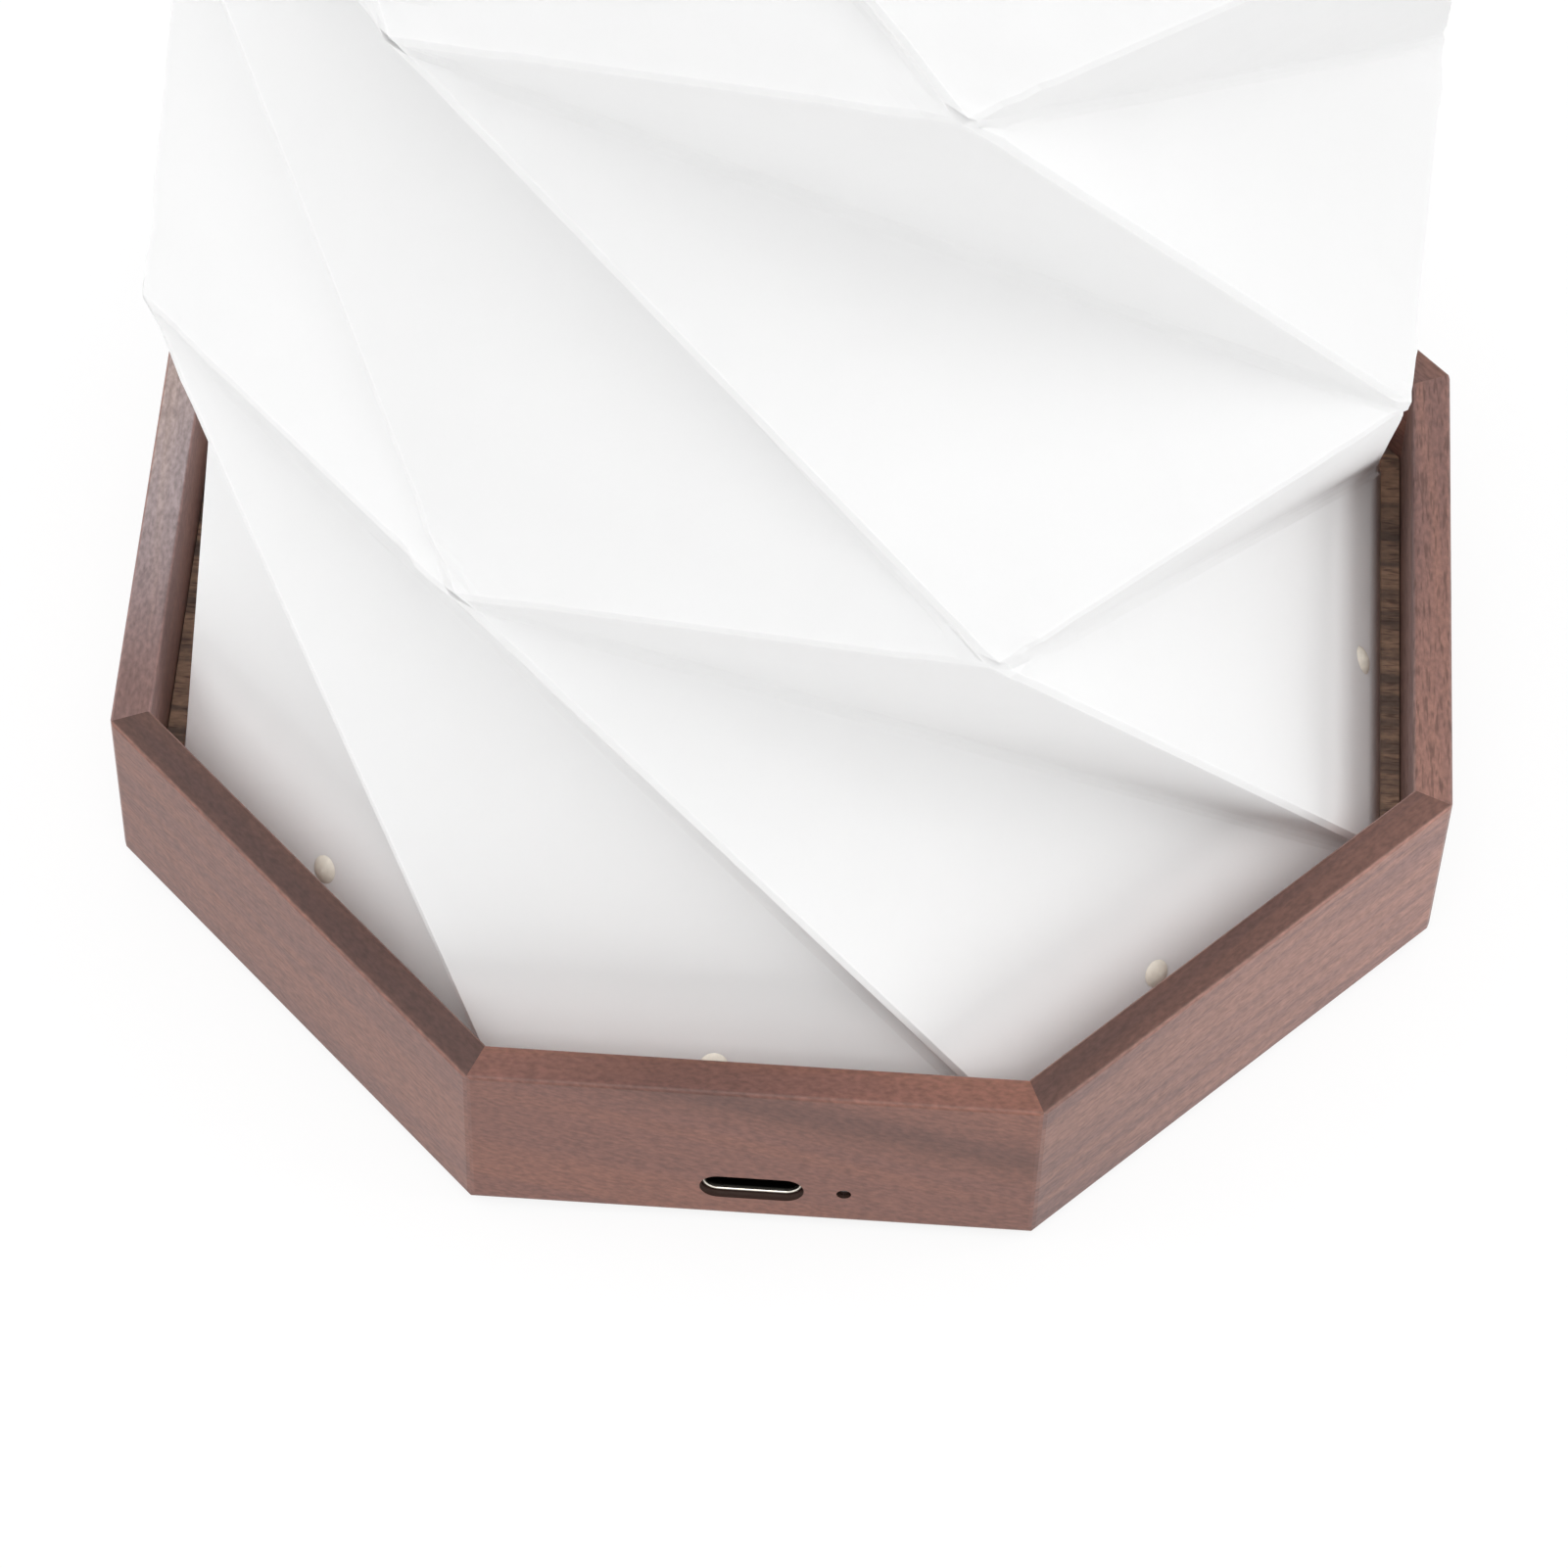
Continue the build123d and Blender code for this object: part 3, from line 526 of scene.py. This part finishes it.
class LAMP_OT_finish_walnut(bpy.types.Operator):
    """Finish the rails, the tray floor and the lid panel in walnut"""
    bl_idname = "lamp.finish_walnut"
    bl_label = "Finish Walnut"

    def execute(self, context):
        finish = context.scene.lamp_finish
        tones = [
            tuple(tone) for tone in (finish.walnut_red, finish.walnut_grey, finish.walnut_pore, finish.walnut_glare)
        ]
        for tray, height in (("base", 0.0), ("lid", 0.4)):
            for index, (side, board) in enumerate(RAILS.items()):
                rail = f"{tray}_rail_{side}"
                if tray == "lid":
                    board = board._replace(top=LID_PANEL.top, bleach=0.0)
                shift = (0.031 * index, 0.147 * index, 0.053 * index + height)
                wear([rail], oiled_walnut(f"oiled_walnut_{rail}", board, rail_angle(rail), shift, tones))
        floor = tuple(finish.floor)
        floor_tones = (floor, floor, *tones[2:])
        wear(["base_floor"], oiled_walnut("oiled_walnut_floor", FLOOR, math.pi / 2, (0.7, 0.2, 0.1), floor_tones))
        angle = rail_angle("lid_rail_right") + math.pi / 2
        wear(["lid_panel"], oiled_walnut("oiled_walnut_lid_panel", LID_PANEL, angle, (1.3, 0.6, 0.2), tones))
        return {"FINISHED"}


class LAMP_OT_finish_fittings(bpy.types.Operator):
    """Finish the port, rivets, rings, cover and the parts inside"""
    bl_idname = "lamp.finish_fittings"
    bl_label = "Finish Fittings"

    def execute(self, context):
        finish = context.scene.lamp_finish
        steel = mottled("zinc_plated_steel", linear("#b9bbbd"), linear("#9a9c9f"), 0.4 * MM, 0.34, 1.0, 0.01 * MM)
        wear(["bottom_cover_screws", "charge_board_screws", "led_board_screws", "base_shade_ring_screws", "lid_shade_ring_screws"], steel)
        port = tuple(finish.port_metal)
        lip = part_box("usb_c_shell")[0].y
        wear(["usb_c_shell"], plated_port("stamped_plated_port_steel", port, lip))
        wear(["usb_c_tongue"], mottled("moulded_black_contact_nylon", linear("#1c1c1d"), linear("#29292a"), 0.3 * MM, 0.5, 0.0, 0.01 * MM))
        wear(["charge_indicator"], mottled("moulded_amber_indicator", linear("#d98b3a"), linear("#b06a26"), 0.4 * MM, 0.3, 0.0, 0.005 * MM))
        # The acrylic light pipe is coloured dark as the painted shade of its pinhole
        wear(["charge_light_pipe"], mottled("acrylic_pipe_painted_shade", linear("#2c1a14"), linear("#1f120e"), 0.8 * MM, 0.15, 0.0, 0.002 * MM))
        ivory = tuple(finish.ivory)
        wear(["base_rivets", "lid_rivets"], mottled("moulded_ivory_nylon", ivory, darker(ivory, 0.9), 0.5 * MM, 0.5, 0.0, 0.01 * MM))
        collar = tuple(finish.collar)
        wear(["base_shade_ring", "lid_shade_ring"], mottled("moulded_white_abs", collar, darker(collar, 0.94), 0.6 * MM, 0.5, 0.0, 0.01 * MM))
        cover = tuple(finish.cover)
        wear(["base_bottom_cover"], mottled("spark_textured_dark_abs", cover, darker(cover, 0.75), 0.35 * MM, 0.62, 0.0, 0.03 * MM))
        rubber = tuple(finish.rubber)
        wear(["anti_slip_pad"], mottled("moulded_silicone_rubber", rubber, darker(rubber, 0.7), 0.5 * MM, 0.8, 0.0, 0.03 * MM))
        wear(["charge_board"], mottled("green_solder_mask", linear("#1f5a35"), linear("#17472a"), 0.6 * MM, 0.4, 0.0, 0.01 * MM))
        wear(["charge_board_chips", "lid_sensor"], mottled("moulded_black_epoxy", linear("#1d1d1f"), linear("#2b2b2d"), 0.2 * MM, 0.6, 0.0, 0.01 * MM))
        wear(["battery_cell"], mottled("laminated_cell_foil", linear("#b8b9bd"), linear("#96979c"), 1.5 * MM, 0.35, 0.8, 0.02 * MM))
        wear(["battery_tabs", "trigger_magnet"], mottled("bright_nickel_plate", linear("#cfccc4"), linear("#b4b0a7"), 0.4 * MM, 0.25, 1.0, 0.004 * MM))
        wear(["led_power_pins"], mottled("drawn_brass", linear("#c9a55c"), linear("#a88743"), 0.3 * MM, 0.3, 1.0, 0.005 * MM))
        wear(["led_board"], mottled("white_solder_mask", linear("#eceeec"), linear("#dfe2e0"), 0.5 * MM, 0.4, 0.0, 0.008 * MM))
        wear(["led_chips"], mottled("cast_phosphor_silicone", linear("#e9c552"), linear("#d8ae36"), 0.15 * MM, 0.45, 0.0, 0.01 * MM))
        wear(["led_diffuser"], mottled("frosted_polycarbonate", linear("#eeedea"), linear("#e0dfdb"), 0.25 * MM, 0.55, 0.0, 0.02 * MM))
        return {"FINISHED"}


class LAMP_OT_set_stage(bpy.types.Operator):
    """Set the white floor, the soft lamps and the camera"""
    bl_idname = "lamp.set_stage"
    bl_label = "Set Stage"

    def execute(self, context):
        stage = context.scene.lamp_stage
        bpy.ops.object.select_all(action="DESELECT")
        bpy.ops.mesh.primitive_plane_add(size=6.0)
        ground = context.object
        ground.name = "stage_floor"
        material, tree, coords = new_material("painted_studio_floor")
        grain = add(tree, "TexNoise", {}, {"Vector": coords.outputs["Object"], "Scale": 1 / (60 * MM), "Detail": 2.0})
        tone = add(tree, "MapRange", {}, {"Value": grain.outputs["Fac"], 3: 0.995, 4: 1.0})
        painted = add(
            tree, "Mix", {"data_type": "RGBA", "blend_type": "MULTIPLY"},
            {0: 1.0, 6: tuple(stage.ground), 7: tone.outputs[0]},
        )
        paint = add(
            tree, "BsdfPrincipled", {}, {"Base Color": painted.outputs[2], "Roughness": 0.9, "Specular IOR Level": 0.1}
        )
        white = add(tree, "Emission", {}, {"Color": (1.0, 1.0, 1.0, 1.0), "Strength": 1.0})
        share = add(tree, "MapRange", {}, {"Value": seen_rays(tree), 4: stage.whiteness})
        lit = add(tree, "MixShader", {}, {0: share.outputs[0], 1: paint.outputs[0], 2: white.outputs[0]})
        add(tree, "OutputMaterial", {}, {"Surface": lit.outputs[0]})
        ground.data.materials.append(material)

        world = bpy.data.worlds.new("soft_dome")
        world.use_nodes = True
        tree = world.node_tree
        tree.nodes.clear()
        sky = add(tree, "TexCoord", {}, {})
        rise = add(tree, "SeparateXYZ", {}, {0: sky.outputs["Generated"]})
        soft = add(tree, "MapRange", {}, {"Value": rise.outputs["Z"], 3: stage.horizon, 4: stage.zenith})
        level = add(tree, "MapRange", {}, {"Value": seen_rays(tree), 3: soft.outputs[0], 4: 1.0})
        dome = add(tree, "Background", {}, {"Color": (1.0, 1.0, 1.0, 1.0), "Strength": level.outputs[0]})
        add(tree, "OutputWorld", {}, {"Surface": dome.outputs[0]})
        context.scene.world = world

        middle = Vector((0, 0, 0.12))
        for name, place, power in (
            ("key_lamp", Vector((3.87, 0.33, 2.37)), stage.key),
            ("fill_lamp", Vector((-3.9, 0.0, 2.37)), stage.fill),
            ("front_lamp", Vector((0.0, -2.25, 4.02)), stage.front),
        ):
            bpy.ops.object.light_add(type="AREA", location=place)
            lamp = context.object
            lamp.name = name
            lamp.data.size = 2.7
            lamp.data.energy = power
            lamp.rotation_euler = (middle - place).to_track_quat("-Z", "Y").to_euler()

        azimuth, elevation, roll = (math.radians(angle) for angle in (1.72, 54.54, 2.1925))
        back = Vector((
            math.sin(azimuth) * math.cos(elevation), -math.cos(azimuth) * math.cos(elevation), math.sin(elevation)
        ))
        right = Vector((math.cos(azimuth), math.sin(azimuth), 0))
        up = back.cross(right)
        across = right * math.cos(roll) + up * math.sin(roll)
        upward = up * math.cos(roll) - right * math.sin(roll)
        place = Vector((-0.32, 0, -17.04)) * MM + back * 564.74 * MM
        bpy.ops.object.camera_add()
        camera = context.object
        camera.name = "photo_camera"
        camera.matrix_world = Matrix.Translation(place) @ Matrix((across, upward, back)).transposed().to_4x4()
        camera.data.lens = 133.79
        camera.data.sensor_width = 36.0
        camera.data.clip_start = 0.01
        context.scene.camera = camera
        context.scene.view_settings.view_transform = "Standard"
        return {"FINISHED"}


class LAMP_PT_panel(bpy.types.Panel):
    """The lamp's sizes, colours and steps"""
    bl_label = "Folding Lamp"
    bl_idname = "LAMP_PT_panel"
    bl_space_type = "VIEW_3D"
    bl_region_type = "UI"
    bl_category = "Lamp"

    def draw(self, context):
        layout = self.layout
        for settings in (context.scene.lamp_shade, context.scene.lamp_finish, context.scene.lamp_stage):
            column = layout.column(align=True)
            for name in settings.__annotations__:
                column.prop(settings, name)
        for operator in (LAMP_OT_fold_shade, LAMP_OT_finish_walnut, LAMP_OT_finish_fittings, LAMP_OT_set_stage):
            layout.operator(operator.bl_idname)


classes = (
    LampShadeSettings,
    LampFinishSettings,
    LampStageSettings,
    LAMP_OT_fold_shade,
    LAMP_OT_finish_walnut,
    LAMP_OT_finish_fittings,
    LAMP_OT_set_stage,
    LAMP_PT_panel,
)


def register():
    for cls in classes:
        bpy.utils.register_class(cls)
    bpy.types.Scene.lamp_shade = PointerProperty(type=LampShadeSettings)
    bpy.types.Scene.lamp_finish = PointerProperty(type=LampFinishSettings)
    bpy.types.Scene.lamp_stage = PointerProperty(type=LampStageSettings)


def unregister():
    del bpy.types.Scene.lamp_stage
    del bpy.types.Scene.lamp_finish
    del bpy.types.Scene.lamp_shade
    for cls in reversed(classes):
        bpy.utils.unregister_class(cls)


def main():
    register()
    bpy.ops.lamp.fold_shade()
    bpy.ops.lamp.finish_walnut()
    bpy.ops.lamp.finish_fittings()
    bpy.ops.lamp.set_stage()


if __name__ == "__main__":
    main()
